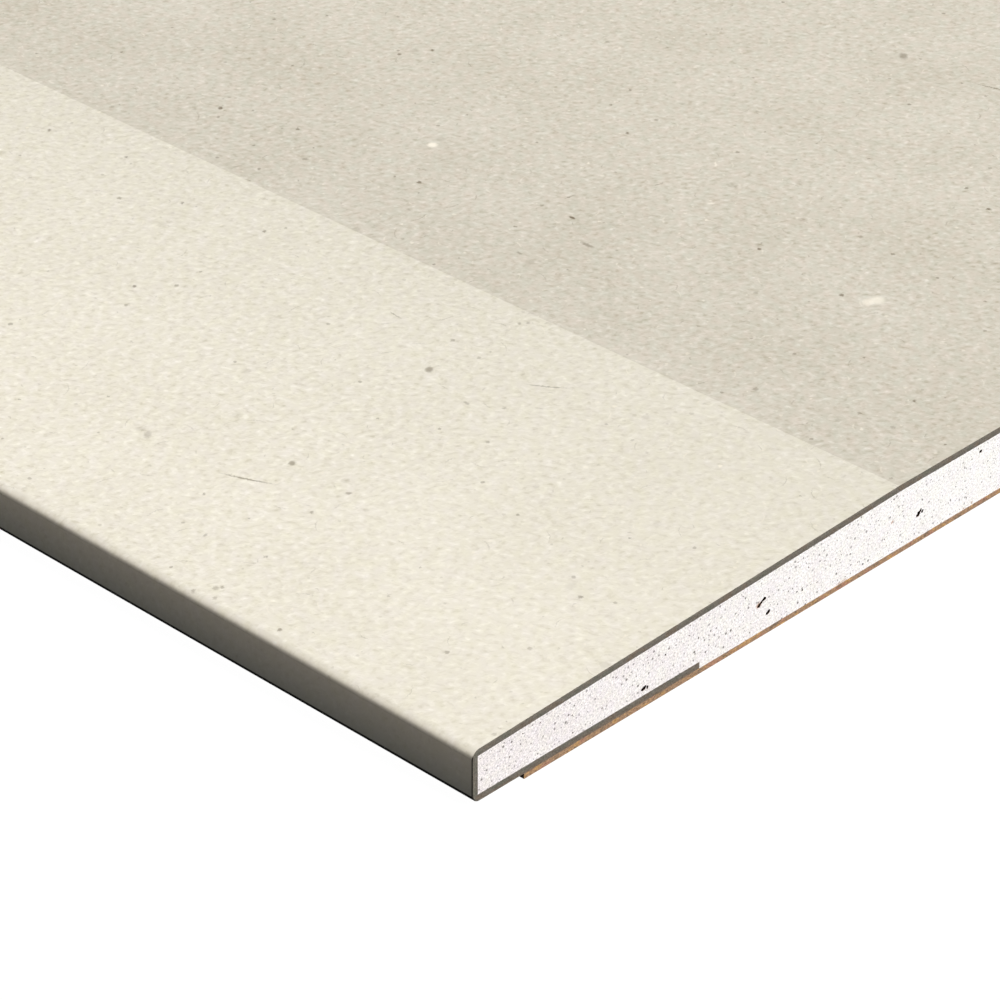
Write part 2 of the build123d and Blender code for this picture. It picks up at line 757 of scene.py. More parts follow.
CORE_SPOTS = (
    Spot(60.2, 5.9, 0.95, 0.6, 0.9, 20.0, Shade.RUST),
    Spot(90.9, 6.6, 0.45, 0.35, 0.75, 40.0, Shade.RUST),
    Spot(110.6, 1.4, 0.35, 0.3, 0.7, 20.0, Shade.RUST),
    Spot(108.6, 1.15, 0.25, 0.2, 0.7, 20.0, Shade.RUST),
    Spot(79.3, 1.15, 1.9, 0.28, 0.5, 0.0, Shade.RUST),
    Spot(54.9, 6.81, 0.26, 0.2, 0.75, 30.0),
    Spot(44.6, 6.2, 0.2, 0.16, 0.7, 30.0),
    Spot(40.9, 3.6, 0.2, 0.15, 0.7, 60.0),
    Spot(85.5, 8.5, 0.18, 0.16, 0.7, 30.0),
    Spot(87.2, 3.4, 0.18, 0.14, 0.6, 30.0),
    Spot(78.3, 4.3, 0.18, 0.14, 0.6, 30.0),
    Spot(74.0, 10.2, 0.2, 0.14, 0.7, 30.0),
)


@dataclass(frozen=True)
class FacePaperFinish:
    """Ivory paper of fine recycled fibres, in one tone over the field and a paler one over the tapers.

    Distances are in millimetres. The field's fade says where it starts and ends before the crease, and how
    much paler it gets. The taper has its edge's tone from edge_band before the fold, and soft is half the
    width over which a line's edge fades. The bands of the fold are shares of the way round it: where its
    painted highlight and its painted shade each start, are full, fade and end.
    """

    section: Section
    effects: Effects
    field_tone: Tone = (215, 208, 192.5)
    crease_tone: Tone = (230, 224, 208)
    edge_tone: Tone = (239.5, 233, 217)
    side_tone: Tone = (237, 227, 209)
    foot_shade_tone: Tone = (182, 180, 169)
    shadow_tone: Tone = (10, 9, 8)
    dark_fleck: Tone = (118, 104, 82)
    pale_fleck: Tone = (255, 247, 230)
    field_fade: tuple[float, float, float] = (8.0, 80.0, 0.025)
    edge_band: float = 22.0
    side_start: float = 0.3
    soft: float = 0.08
    field_contrast: float = 0.28
    taper_contrast: float = 0.235
    end_contrast: float = 0.188
    end_band: Point = (15.0, 75.0)
    side_contrast: float = 0.5
    field_clouds: float = 0.14
    taper_clouds: float = 0.06
    fibre_tint: Tone = (0.9, 0.97, 1.2)
    field_hue: Tone = (0.09, 0.0, 0.01)
    taper_hue: Tone = (0.01, 0.0, 0.09)
    roughness: float = 0.85
    gloss: float = 0.03
    relief: float = 0.02 * MM
    fold_light: float = 0.13
    lit: tuple[float, float, float, float] = (0.22, 0.48, 0.5, 0.72)
    fold_shade: float = -0.27
    shaded: tuple[float, float, float, float] = (0.6, 0.8, 0.88, 1.0)
    arris_line: float = 0.1
    arris_soft: float = 0.04
    arris_top: Point = (1.0, 0.4)
    arris_dark: float = 0.85
    under_fold: Point = (0.18, 2.1)
    under_fold_fade: float = 0.25
    ragged_edge: Point = (2.6, 0.45)
    taper_flecks: float = 0.8
    side_flecks: float = 0.25
    dark_marks: tuple[Scatter, ...] = (
        Scatter(9.0, 0.4, (0.25, 0.55), 0.6),
        Scatter(4.5, 0.4, (0.15, 0.4), 0.25),
        Scatter(11.0, 0.5, (0.5, 1.2), 0.17),
        Scatter(7.0, 0.6, (0.6, 2.6), 0.3, half_width=0.13),
    )
    pale_marks: tuple[Scatter, ...] = (
        Scatter(4.0, 0.55, (0.2, 0.5), 0.5),
        Scatter(6.0, 0.6, (0.6, 2.2), 0.35, half_width=0.16),
    )

    def on_taper(self, graph: Graph, reach: Socket, field: Value, taper: Value) -> Socket:
        """Changes a value from the field to the taper, over the last millimetre before the crease."""
        crease = self.section.crease * PER_MM
        return graph.ramp(reach, crease - 1.0, crease, field, taper)

    def on_side(self, graph: Graph, reach: Socket, share: float) -> Socket:
        """Gives 1 on the face and a share of it on the side, with an even change round the fold."""
        top, side = self.section.fold_top * PER_MM, self.section.side_top * PER_MM
        return graph.ramp(reach, top, side, 1.0, share)

    def material(self) -> bpy.types.Material:
        """Builds the paper's outer surface, which follows the map unrolled round the section.

        Returns:
            The material.
        """
        made, graph = blank_material("ivory_face_paper")
        uv = graph.node("ShaderNodeUVMap", uv_map=FacePaper.unrolled_map).outputs[0]
        place = graph.grow(uv, PER_MM)
        along, across, _ = graph.split(place)
        reach = graph.math("ABSOLUTE", across)
        fibres = self.effects.fibres.place(graph, place)
        end = graph.math("SUBTRACT", self.section.half_length * PER_MM, graph.math("ABSOLUTE", along))
        contrast = graph.ramp(end, *self.end_band, self.end_contrast, self.taper_contrast)
        contrast = self.on_taper(graph, reach, self.field_contrast, contrast)
        contrast = graph.times(contrast, self.on_side(graph, reach, self.side_contrast))
        clouds = self.on_taper(graph, reach, self.field_clouds, self.taper_clouds)
        clouds = graph.times(fibres["Clouds"], clouds)
        amount = graph.math("ADD", graph.times(fibres["Relief"], contrast), clouds)
        colour = graph.lighten(self.ground(graph, reach), amount, self.fibre_tint)
        for hue, field, taper in ((self.field_hue, 1.0, 0.0), (self.taper_hue, 0.0, 1.0)):
            shown = self.on_taper(graph, reach, field, taper)
            colour = graph.lighten(colour, graph.times(fibres["Hue"], shown), hue)
        ragged = graph.ragged(place, *self.ragged_edge)
        colour = self.scatter(graph, colour, ragged, reach)
        colour = self.spots(graph, colour, ragged)
        colour = self.shadows(graph, colour, graph.math("ABSOLUTE", along), reach)
        graph.matt(colour, self.roughness, self.gloss, fibres["Grain"], self.relief)
        return made

    def ground(self, graph: Graph, reach: Socket) -> Socket:
        """Lays the tones of the field, the taper, the fold and the side, with a painted highlight and painted
        shade round the upper fold and painted shade darkening down the side to its foot.

        Args:
            graph: the material's graph.
            reach: the distance along the paper from the middle of the face.

        Returns:
            The paper's colour, without its fibres and flecks.
        """
        crease, edge = self.section.crease * PER_MM, self.section.fold_top * PER_MM
        top, foot = self.section.side_top * PER_MM, self.section.side_foot * PER_MM
        near, far, paler = self.field_fade
        fade = graph.step(reach, crease - near, crease - far, paler)
        field = graph.lighten(paint(self.field_tone), fade)
        slope = graph.ramp(reach, crease, edge - self.edge_band, 0.0, 1.0)
        taper = graph.blend(slope, paint(self.crease_tone), paint(self.edge_tone))
        past_crease = graph.step(reach, crease - self.soft, crease + self.soft)
        colour = graph.blend(past_crease, field, taper)
        past_fold = graph.step(reach, edge + self.side_start, top)
        colour = graph.blend(past_fold, colour, paint(self.side_tone))
        turned = graph.ramp(reach, edge, top, 0.0, 1.0)
        # painted highlight, then painted shade, round the upper fold
        for amount, band in ((self.fold_light, self.lit), (self.fold_shade, self.shaded)):
            start, full, fading, end = band
            swell = graph.times(graph.step(turned, start, full), graph.step(turned, end, fading))
            colour = graph.lighten(colour, graph.times(swell, amount))
        # painted shade: the side darkens evenly from its top to its foot
        return graph.blend(graph.ramp(reach, top, foot, 0.0, 1.0), colour, paint(self.foot_shade_tone))

    def scatter(self, graph: Graph, colour: Socket, place: Socket, reach: Socket) -> Socket:
        """Adds the scattered marks, with weaker dark ones on the taper and hardly any on the side.

        Args:
            graph: the material's graph.
            colour: the paper's colour.
            place: the place on the paper, in millimetres.
            reach: the distance along the paper from the middle of the face.

        Returns:
            The colour with specks and hairs.
        """
        dark, pale = (
            graph.most(*(marks.mask(graph, self.effects, place) for marks in kinds))
            for kinds in (self.dark_marks, self.pale_marks)
        )
        dark = graph.times(dark, self.on_taper(graph, reach, 1.0, self.taper_flecks))
        face = self.on_side(graph, reach, self.side_flecks)
        for mask, tone in ((dark, self.dark_fleck), (pale, self.pale_fleck)):
            colour = graph.blend(graph.times(mask, face), colour, paint(tone))
        return colour

    def spots(self, graph: Graph, colour: Socket, place: Socket) -> Socket:
        """Adds the flecks and hairs that the photographed corner shows, each in its place.

        Args:
            graph: the material's graph.
            colour: the paper's colour.
            place: the place on the paper, in millimetres.

        Returns:
            The colour with the placed flecks and hairs.
        """
        end, edge = self.section.half_length * PER_MM, self.section.half_width * PER_MM
        for shade, tone in ((Shade.DARK, self.dark_fleck), (Shade.PALE, self.pale_fleck)):
            spots = [spot for spot in FACE_SPOTS if spot.shade is shade]
            marks = [(spot, end - spot.first, spot.second - edge) for spot in spots]
            colour = graph.blend(self.effects.marks(graph, place, marks), colour, paint(tone))
        return colour

    def shadows(self, graph: Graph, colour: Socket, end: Socket, reach: Socket) -> Socket:
        """Draws the two thin painted shadow lines: under the lower fold, and down the side at the cut ends.

        Args:
            graph: the material's graph.
            colour: the paper's colour.
            end: the distance from the middle of the sheet's length.
            reach: the distance along the paper from the middle of the face.

        Returns:
            The colour with both lines.
        """
        top, foot = self.section.side_top * PER_MM, self.section.side_foot * PER_MM
        first, last = (foot + beyond for beyond in self.under_fold)
        above = graph.step(reach, last + self.under_fold_fade, last)
        under = graph.step(reach, first - self.soft, first + self.soft)
        arris = self.section.half_length * PER_MM - self.arris_line
        line = graph.step(end, arris - self.arris_soft, arris + self.arris_soft)
        start, full = (top - before for before in self.arris_top)
        line = graph.times(line, graph.step(reach, start, full, self.arris_dark))
        # painted shadow lines: under the lower fold, and down the arris at the cut ends
        both = graph.times(graph.most(under, line), above)
        return graph.blend(both, colour, paint(self.shadow_tone))


@dataclass(frozen=True)
class CutPaperFinish:
    """The cut edge of the face paper: grey pressed plies, paler outside, with a painted shadow line down the
    side's arris.

    Distances are in millimetres, and the outer plies are given as shares of the paper's thickness. The
    arris's line starts arris_top before the side and ends arris_foot beyond it.
    """

    section: Section
    tone: Tone = (113, 107, 98)
    green_tone: Tone = (106, 104, 94)
    brown_tone: Tone = (114, 103, 91)
    arris_shadow_tone: Tone = (38, 36, 32)
    patch_stretch: Point = (0.35, 0.6)
    green_patches: Point = (0.5, 0.3)
    brown_patches: Point = (0.52, 0.7)
    arris_line: float = 0.2
    arris_soft: float = 0.04
    arris_top: Point = (1.0, 0.4)
    arris_foot: Point = (1.6, 1.2)
    outer_light: float = 0.13
    light_end: float = 4.0
    outer_brown: float = 0.8
    outer_plies: Point = (0.6, 0.3)
    strip_band: Point = (1.5, 6.0)
    ply_stretch: Point = (0.5, 3.4)
    ply_contrast: float = 0.8
    grain_scale: float = 3.2
    grain_contrast: float = 1.4
    blue_scale: float = 1.4
    blue_drift: Tone = (0.0, 0.05, 0.25)
    roughness: float = 0.92
    gloss: float = 0.05
    relief: float = 0.03 * MM

    def material(self) -> bpy.types.Material:
        """Builds the cut edge, which follows the map along and through the paper.

        Returns:
            The material.
        """
        made, graph = blank_material("cut_face_paper")
        uv = graph.node("ShaderNodeUVMap", uv_map=FacePaper.section_map).outputs[0]
        place = graph.grow(uv, PER_MM)
        far, depth, _ = graph.split(place)
        reach = graph.math("ABSOLUTE", far)
        plies = graph.drift(graph.stretched(place, *self.ply_stretch), 1.0, detail=3.0, rough=0.65)
        grain = graph.drift(place, self.grain_scale, detail=2.0, rough=0.7)
        grain = graph.times(grain, self.grain_contrast)
        amount = graph.math("MULTIPLY_ADD", plies, self.ply_contrast, grain)
        amount = graph.math("ADD", amount, self.light(graph, depth, reach))
        colour = graph.lighten(self.ground(graph, place, depth, reach), amount)
        blue = graph.drift(place, self.blue_scale, detail=2.0, rough=0.7)
        colour = graph.lighten(colour, blue, self.blue_drift)
        line = self.line(graph, depth, reach)
        # painted shadow line down the side's arris
        colour = graph.blend(line, colour, paint(self.arris_shadow_tone))
        graph.matt(colour, self.roughness, self.gloss, plies, self.relief)
        return made

    def ground(self, graph: Graph, place: Socket, depth: Socket, reach: Socket) -> Socket:
        """Mottles the plies in three tones, and lays the brown one over the outer half of the strip.

        Args:
            graph: the material's graph.
            place: the place on the cut edge, in millimetres.
            depth: the depth below the paper's outer face, in millimetres.
            reach: the distance along the paper from the middle of the face, in millimetres.

        Returns:
            The colour of the plies.
        """
        patches = graph.noise(graph.stretched(place, *self.patch_stretch), 1.0)[0]
        green, brown = paint(self.green_tone), paint(self.brown_tone)
        colour = graph.blend(graph.step(patches, *self.green_patches), paint(self.tone), green)
        colour = graph.blend(graph.step(patches, *self.brown_patches), colour, brown)
        inner, foot = self.section.face_paper * PER_MM, self.section.side_foot * PER_MM
        start, full = (inner * share for share in self.outer_plies)
        outer = graph.times(graph.step(depth, start, full), self.outer_brown)
        start, full = (foot + beyond for beyond in self.strip_band)
        outer = graph.times(outer, graph.step(reach, start, full))
        return graph.blend(outer, colour, brown)

    def light(self, graph: Graph, depth: Socket, reach: Socket) -> Socket:
        """Gives how much lighter the outer plies are, and the inner ones darker, down to the strip.

        Args:
            graph: the material's graph.
            depth: the depth below the paper's outer face, in millimetres.
            reach: the distance along the paper from the middle of the face, in millimetres.

        Returns:
            The amount of light, about 0.
        """
        inner, foot = self.section.face_paper * PER_MM, self.section.side_foot * PER_MM
        light = graph.ramp(depth, 0.0, inner, self.outer_light, -self.outer_light / 2)
        return graph.times(light, graph.step(reach, foot + self.light_end, foot))

    def line(self, graph: Graph, depth: Socket, reach: Socket) -> Socket:
        """Gives the mask of the thin painted shadow line down the arris of the side.

        Args:
            graph: the material's graph.
            depth: the depth below the paper's outer face, in millimetres.
            reach: the distance along the paper from the middle of the face, in millimetres.

        Returns:
            The mask, from 0 to 1.
        """
        top, foot = self.section.side_top * PER_MM, self.section.side_foot * PER_MM
        line = graph.step(depth, self.arris_line + self.arris_soft, self.arris_line - self.arris_soft)
        start, full = (top - before for before in self.arris_top)
        line = graph.times(line, graph.step(reach, start, full))
        end, full = (foot + beyond for beyond in self.arris_foot)
        return graph.times(line, graph.step(reach, end, full))


@dataclass(frozen=True)
class GypsumFinish:
    """Cast gypsum: nearly white with a pink cast, finely speckled, with painted shade inside its air voids
    and fine pores.

    Distances are in millimetres. Near and far mean from the nearer long edge.
    """

    section: Section
    effects: Effects
    white_tone: Tone = (251, 248, 245)
    pink_tone: Tone = (241, 234, 232)
    pore_shade_and_dust_tone: Tone = (78, 68, 65)
    rust_tone: Tone = (176, 128, 92)
    rim_tone: Tone = (120, 92, 74)
    void_shade_tone: Tone = (18, 13, 11)
    pink_band: Point = (3.0, 105.0)
    pink_scale: float = 0.28
    pink_drift: float = 1.6
    grain_scale: float = 2.8
    grain_band: Point = (5.0, 110.0)
    grain_near: float = 1.0
    grain_far: float = 0.85
    scratch_turn: float = -34.0
    scratch_stretch: Point = (0.3, 4.5)
    scratches: float = 0.12
    hue_scale: float = 0.45
    hue_drift: float = 0.12
    hue_tint: Tone = (0.0, -0.25, 1.0)
    clump_scale: float = 0.3
    clump_band: Point = (0.38, 0.62)
    crowd_band: Point = (20.0, 120.0)
    crowd_near: float = 0.6
    crowd_far: float = 0.15
    pore_cell: float = 1.1
    pore_share: float = 0.85
    pore_sizes: Point = (0.11, 0.31)
    pore_core: float = 0.4
    pore_strength: float = 0.95
    dust_sizes: Point = (0.06, 0.13)
    dust_core: float = 0.2
    dust_strength: float = 0.45
    ragged_edge: Point = (3.5, 0.5)
    rim_depth: Point = (0.004, 0.03)
    void_depth: Point = (0.02, 0.12)
    roughness: float = 0.95
    gloss: float = 0.1
    relief: float = 0.05 * MM

    def material(self) -> bpy.types.Material:
        """Builds the gypsum from the core's own coordinates.

        Returns:
            The material.
        """
        made, graph = blank_material("cast_gypsum")
        at = graph.node("ShaderNodeTexCoord").outputs["Object"]
        x, y, z = graph.split(graph.grow(at, PER_MM))
        place = graph.join(y, z)
        half_width, half_length = self.section.half_width * PER_MM, self.section.half_length * PER_MM
        inward = graph.math("SUBTRACT", half_width, graph.math("ABSOLUTE", y))
        grain = graph.drift(place, self.grain_scale, detail=1.0, rough=0.9)
        colour = self.ground(graph, place, inward, grain)
        specks = self.specks(graph, place, self.crowd(graph, place, inward))
        # fine pores painted dark as their own shade, with grey dust in the same tone
        colour = graph.blend(specks, colour, paint(self.pore_shade_and_dust_tone))
        colour = self.spots(graph, colour, graph.ragged(place, *self.ragged_edge))
        depth = graph.math("SUBTRACT", half_length, graph.math("ABSOLUTE", x))
        # the void's rim turns brown, then painted shade darkens it towards black deeper in
        for band, tone in ((self.rim_depth, self.rim_tone), (self.void_depth, self.void_shade_tone)):
            colour = graph.blend(graph.step(depth, *band), colour, paint(tone))
        height = graph.math("SUBTRACT", grain, specks)
        graph.matt(colour, self.roughness, self.gloss, height, self.relief)
        return made

    def ground(self, graph: Graph, place: Socket, inward: Socket, grain: Socket) -> Socket:
        """Lays the white and pink of the gypsum, with its fine grain and faint scratches.

        Args:
            graph: the material's graph.
            place: the place on the cut end.
            inward: the distance from the nearer long edge.
            grain: the fine grain, about 0.

        Returns:
            The gypsum's colour, without its specks.
        """
        pink = graph.drift(place, self.pink_scale, detail=3.0, rough=0.65)
        near = graph.ramp(inward, *self.pink_band, 1.0, 0.0)
        pink = graph.math("MULTIPLY_ADD", pink, self.pink_drift, near, clamp=True)
        colour = graph.blend(pink, paint(self.white_tone), paint(self.pink_tone))
        amount = graph.times(grain, graph.ramp(inward, *self.grain_band, self.grain_near, self.grain_far))
        turned = graph.turned(place, math.radians(self.scratch_turn))
        scratches = graph.drift(graph.stretched(turned, *self.scratch_stretch), 1.0, detail=1.0)
        colour = graph.lighten(colour, graph.math("MULTIPLY_ADD", scratches, self.scratches, amount))
        hue = graph.drift(place, self.hue_scale, detail=3.0, rough=0.7)
        return graph.lighten(colour, graph.times(hue, self.hue_drift), self.hue_tint)

    def crowd(self, graph: Graph, place: Socket, inward: Socket) -> Socket:
        """Gives how close together the pores are: in clumps, and more of them near the long edges.

        Args:
            graph: the material's graph.
            place: the place on the cut end.
            inward: the distance from the nearer long edge.

        Returns:
            The crowding, from 0 to 1.
        """
        clumps = graph.step(graph.noise(place, self.clump_scale)[0], *self.clump_band)
        sparse = graph.ramp(inward, *self.crowd_band, self.crowd_near, self.crowd_far)
        return graph.math("MULTIPLY_ADD", clumps, graph.math("SUBTRACT", 1.0, sparse), sparse)

    def specks(self, graph: Graph, place: Socket, crowd: Socket) -> Socket:
        """Scatters fine pores, painted dark as their shade, and grey dust over the cut end.

        Args:
            graph: the material's graph.
            place: the place on the cut end.
            crowd: how close together they are, from 0 to 1.

        Returns:
            Their mask.
        """
        share = graph.times(crowd, self.pore_share)
        kinds = (
            (self.pore_cell, self.pore_sizes, self.pore_core, self.pore_strength),
            (self.pore_cell / 2, self.dust_sizes, self.dust_core, self.dust_strength),
        )
        masks = []
        for cell, (small, large), core, strength in kinds:
            values = {"Cell": cell, "Share": share, "Smallest": small, "Largest": large, "Core": core}
            masks.append(graph.times(self.effects.flecks.place(graph, place, **values)["Mask"], strength))
        return graph.most(*masks)

    def spots(self, graph: Graph, colour: Socket, place: Socket) -> Socket:
        """Adds the dark and rusty specks that the photographed cut end shows.

        Args:
            graph: the material's graph.
            colour: the gypsum's colour.
            place: the place on the cut end.

        Returns:
            The colour with the placed specks.
        """
        edge = self.section.half_width * PER_MM
        # the dark specks are painted shade of small pores; the rusty ones are stains
        for shade, tone in ((Shade.RUST, self.rust_tone), (Shade.DARK, self.void_shade_tone)):
            spots = [spot for spot in CORE_SPOTS if spot.shade is shade]
            marks = [(spot, spot.first - edge, spot.second) for spot in spots]
            colour = graph.blend(self.effects.marks(graph, place, marks), colour, paint(tone))
        return colour


@dataclass(frozen=True)
class BackPaperFinish:
    """Brown recycled paper, mottled and streaked where it is cut. Distances are in millimetres."""

    section: Section
    effects: Effects
    brown_tone: Tone = (152, 123, 97)
    ochre_tone: Tone = (176, 138, 92)
    pink_tone: Tone = (160, 120, 99)
    grey_tone: Tone = (120, 102, 84)
    lap_shadow: Tone = (44, 34, 26)
    cut_depth: float = 0.05
    side_depth: float = 0.01
    dark_fleck: Tone = (84, 64, 48)
    pale_fleck: Tone = (214, 190, 160)
    fibre_scale: float = 0.7
    fibre_contrast: float = 0.4
    clouds: float = 0.15
    patch_stretch: Point = (0.3, 0.7)
    patch_starts: tuple[float, float, float] = (0.5, 0.52, 0.54)
    patch_rise: float = 0.16
    ply_stretch: Point = (2.0, 4.0)
    ply_contrast: float = 2.5
    dark_marks: Scatter = Scatter(6.0, 0.5, (0.15, 0.6), 0.6)
    pale_marks: Scatter = Scatter(9.0, 0.5, (0.15, 0.7), 0.5)
    roughness: float = 0.9
    gloss: float = 0.15
    relief: float = 0.03 * MM

    def material(self) -> bpy.types.Material:
        """Builds the paper from the node's own coordinates: below, on the cut ends, and with a painted shadow
        on its long sides under the laps.

        Returns:
            The material.
        """
        made, graph = blank_material("brown_back_paper")
        at = graph.node("ShaderNodeTexCoord").outputs["Object"]
        x, y, z = graph.split(graph.grow(at, PER_MM))
        below = graph.join(x, y)
        fibres = self.effects.fibres.place(graph, below, Scale=self.fibre_scale)
        clouds = graph.times(fibres["Clouds"], self.clouds)
        amount = graph.math("MULTIPLY_ADD", fibres["Relief"], self.fibre_contrast, clouds)
        tone = graph.lighten(paint(self.brown_tone), amount)
        for marks, fleck in ((self.dark_marks, self.dark_fleck), (self.pale_marks, self.pale_fleck)):
            tone = graph.blend(marks.mask(graph, self.effects, below), tone, paint(fleck))
        half_length = self.section.half_length * PER_MM
        cut = graph.math("GREATER_THAN", graph.math("ABSOLUTE", x), half_length - self.cut_depth)
        colour = graph.blend(cut, tone, self.cut_end(graph, graph.join(y, z)))
        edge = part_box("back_paper")[1][1] * PER_MM
        side = graph.math("GREATER_THAN", graph.math("ABSOLUTE", y), edge - self.side_depth)
        # painted shadow of the lap on the back paper's long sides
        colour = graph.blend(side, colour, paint(self.lap_shadow))
        graph.matt(colour, self.roughness, self.gloss, fibres["Grain"], self.relief)
        return made

    def cut_end(self, graph: Graph, place: Socket) -> Socket:
        """Mottles the cut end with ochre, pinkish and grey patches, a few millimetres long.

        Args:
            graph: the material's graph.
            place: the place on the cut end.

        Returns:
            The colour of the cut end.
        """
        patches = graph.noise(graph.stretched(place, *self.patch_stretch), 1.0, detail=3.0, rough=0.6)
        tones = (self.ochre_tone, self.pink_tone, self.grey_tone)
        colour: Value = paint(self.brown_tone)
        for share, start, tone in zip(graph.split(patches["Color"]), self.patch_starts, tones):
            shown = graph.step(share, start, start + self.patch_rise)
            colour = graph.blend(shown, colour, paint(tone))
        plies = graph.drift(graph.stretched(place, *self.ply_stretch), 1.0, detail=3.0, rough=0.75)
        return graph.lighten(colour, graph.times(plies, self.ply_contrast))


def closed_piece(name: str, bm: bmesh.types.BMesh) -> bpy.types.Object:
    """Closes a mesh, turns its faces outwards and makes it a piece in the scene.

    Args:
        name: the piece's name.
        bm: its mesh, which is freed.

    Returns:
        The piece.
    """
    bmesh.ops.remove_doubles(bm, verts=bm.verts, dist=TOUCHING)
    bmesh.ops.recalc_face_normals(bm, faces=bm.faces)
    for edge in bm.edges:
        edge.smooth = all(side.smooth for side in edge.link_faces)
    mesh = bpy.data.meshes.new(name)
    bm.to_mesh(mesh)
    bm.free()
    return linked(name, mesh)


def linked(name: str, data: bpy.types.ID | None) -> bpy.types.Object:
    """Puts an object with its data in the scene.

    Args:
        name: the object's name.
        data: its mesh, lamp or camera.

    Returns:
        The object.
    """
    made = bpy.data.objects.new(name, data)
    bpy.context.scene.collection.objects.link(made)
    return made


@dataclass
class FacePaper:
    """The paper over the face, turned down round both long edges and back under the core."""

    section: Section
    fold_steps: int = 20
    unrolled_map = "unrolled"
    section_map = "cut_edge"

    def half_path(self) -> list[tuple[Point, Point]]:
        """Follows the paper from the middle of the face to the end of its strip, on the +Y side.

        Returns:
            Pairs of an outer and an inner point, each as (y, z).
        """
        s = self.section
        pairs = [((0.0, s.thickness), (0.0, s.thickness - s.face_paper))]
        pairs.append(((s.crease, s.thickness), s.core_crease))
        turn_down = (s.upper_inset(s.fold_radius), s.core_arris, s.taper_angle, math.pi / 2)
        turn_under = (s.lower_inset(s.fold_radius), s.core_foot, math.pi / 2, math.pi)
        for (y, z), inner, start, end in (turn_down, turn_under):
            for step in range(self.fold_steps + 1):
                angle = start + (end - start) * step / self.fold_steps
                outer = (y + s.fold_radius * math.sin(angle), z + s.fold_radius * math.cos(angle))
                pairs.append((outer, inner))
        strip_end = s.half_width - s.face_paper_lap
        pairs.append(((strip_end, s.back_paper), (strip_end, s.back_paper + s.face_paper)))
        return pairs

    def path(self) -> list[tuple[Point, Point, float]]:
        """Follows the whole paper from one strip to the other.

        Returns:
            The outer point, the inner point and the unrolled distance from the middle of the face.
        """
        half, far = [], 0.0
        previous = self.half_path()[0][0]
        for outer, inner in self.half_path():
            far += math.dist(previous, outer)
            previous = outer
            half.append((outer, inner, far))
        mirrored = [((-o[0], o[1]), (-i[0], i[1]), -far) for o, i, far in reversed(half[1:])]
        return mirrored + half

    def build(self, outside: bpy.types.Material, cut_edge: bpy.types.Material) -> bpy.types.Object:
        """Makes the closed mesh, with smooth folds and its two maps.

        Args:
            outside: the material of the paper's two faces.
            cut_edge: the material of its cut ends.

        Returns:
            The finished piece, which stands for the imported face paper.
        """
        bm = bmesh.new()
        unrolled = bm.loops.layers.uv.new(self.unrolled_map)
        cut = bm.loops.layers.uv.new(self.section_map)
        path = self.path()
        near, far = -self.section.half_length, self.section.half_length
        rows = {
            (x, side): [bm.verts.new((x, *point[side])) for point in path]
            for x in (near, far)
            for side in (0, 1)
        }

        def face(corners: list[tuple[float, int, int]], slot: int, smooth: bool) -> None:
            """Adds one face, unless it has no area.

            Args:
                corners: its corners, each as (x, side, step).
                slot: its material slot.
                smooth: whether it is shaded smooth.
            """
            kept: list[tuple[float, int, int]] = []
            for corner in corners:
                place = rows[corner[:2]][corner[2]].co
                if all((place - rows[other[:2]][other[2]].co).length > 1e-9 for other in kept):
                    kept.append(corner)
            if len(kept) < 3:
                return
            made = bm.faces.new([rows[corner[:2]][corner[2]] for corner in kept])
            made.material_index = slot
            made.smooth = smooth
            for loop, (x, side, step) in zip(made.loops, kept):
                loop[unrolled].uv = (x, path[step][2])
                loop[cut].uv = (path[step][2], side * self.section.face_paper)

        for step in range(len(path) - 1):
            turning = math.dist(path[step][0], path[step + 1][0]) < self.section.face_paper
            for side in (0, 1):
                corners = [(near, side, step), (far, side, step)]
                corners += [(far, side, step + 1), (near, side, step + 1)]
                face(corners, 0, turning)
            for x in (near, far):
                face([(x, 0, step), (x, 0, step + 1), (x, 1, step + 1), (x, 1, step)], 1, False)
        for step in (0, len(path) - 1):
            face([(near, 0, step), (far, 0, step), (far, 1, step), (near, 1, step)], 1, False)
        piece = closed_piece("face_paper_wrap", bm)
        piece.data.materials.append(outside)
        piece.data.materials.append(cut_edge)
        return piece


@dataclass(frozen=True)
class Void:
    """One lobe of an air void that the photographed cut end shows, in millimetres.

    Args:
        from_edge: its distance from the long edge.
        height: its height above the floor.
        radius: half its width.
        stretch: how many times longer than wide it is.
        turn: how far its length is turned up from the sheet's width, in degrees.
    """

    from_edge: float
    height: float
    radius: float
    stretch: float = 1.0
    turn: float = 0.0


SHOWN_VOIDS = (
    Void(35.15, 3.3, 0.32, 1.8, 20.0),
    Void(35.98, 3.12, 0.25, 1.3, 60.0),
    Void(60.2, 5.75, 0.32, 1.3, 35.0),
    Void(60.7, 6.12, 0.26, 1.6, 30.0),
    Void(61.3, 6.42, 0.29, 1.7, 28.0),
    Void(62.45, 3.72, 0.32, 1.1, 60.0),
    Void(62.15, 3.55, 0.28, 1.2, 20.0),
    Void(97.2, 5.24, 0.42, 1.2, 50.0),
    Void(97.72, 5.66, 0.22, 1.6, 60.0),
    Void(98.14, 5.33, 0.23, 1.5, 60.0),
    Void(111.96, 10.05, 0.29, 1.2, 30.0),
    Void(90.93, 10.6, 0.14, 1.2, 30.0),
    Void(39.68, 6.92, 0.15, 1.3, 20.0),
    Void(70.04, 3.93, 0.15, 1.2, 60.0),
)


